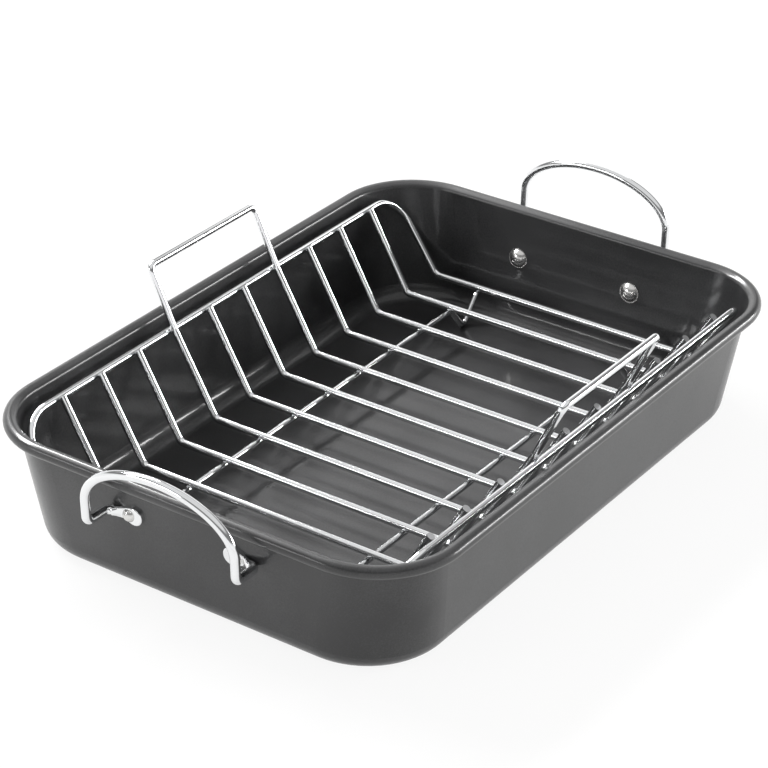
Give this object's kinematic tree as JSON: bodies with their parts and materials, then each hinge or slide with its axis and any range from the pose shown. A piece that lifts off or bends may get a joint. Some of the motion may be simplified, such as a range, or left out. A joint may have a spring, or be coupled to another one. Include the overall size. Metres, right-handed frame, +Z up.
{
  "type": "roasting pan with rack",
  "caption": "Deep rectangular non-stick roasting pan with riveted wire handles and a lift-out U-shaped wire rack with lifting handles.",
  "frame": {"origin": "on the table under the middle of the object, handles included", "axes": "+X along the pan towards the taller handle, +Y across it, +Z up"},
  "size_m": [0.4521, 0.3, 0.1145],
  "materials": {
    "coated_steel": "satin",
    "chrome_wire": "polished",
    "rivet_steel": "polished"
  },
  "bodies": {
    "pan": {"pan": "coated_steel", "pan_handle_right": "chrome_wire", "pan_handle_left": "chrome_wire", "rivet_right_front": "rivet_steel", "rivet_right_back": "rivet_steel", "rivet_left_front": "rivet_steel", "rivet_left_back": "rivet_steel"},
    "rack": {"rack_frame": "chrome_wire", "handle_loop": "chrome_wire", "cross_wire_01": "chrome_wire", "cross_wire_02": "chrome_wire", "cross_wire_03": "chrome_wire", "cross_wire_04": "chrome_wire", "cross_wire_05": "chrome_wire", "cross_wire_06": "chrome_wire", "cross_wire_07": "chrome_wire", "cross_wire_08": "chrome_wire", "support_wire_front": "chrome_wire", "support_wire_back": "chrome_wire"}
  },
  "joints": [
    {"name": "rack_lift", "type": "slide", "parent": "pan", "child": "rack", "axis": [0, 0, 1], "range_m": [0, 0.13]}
  ]
}
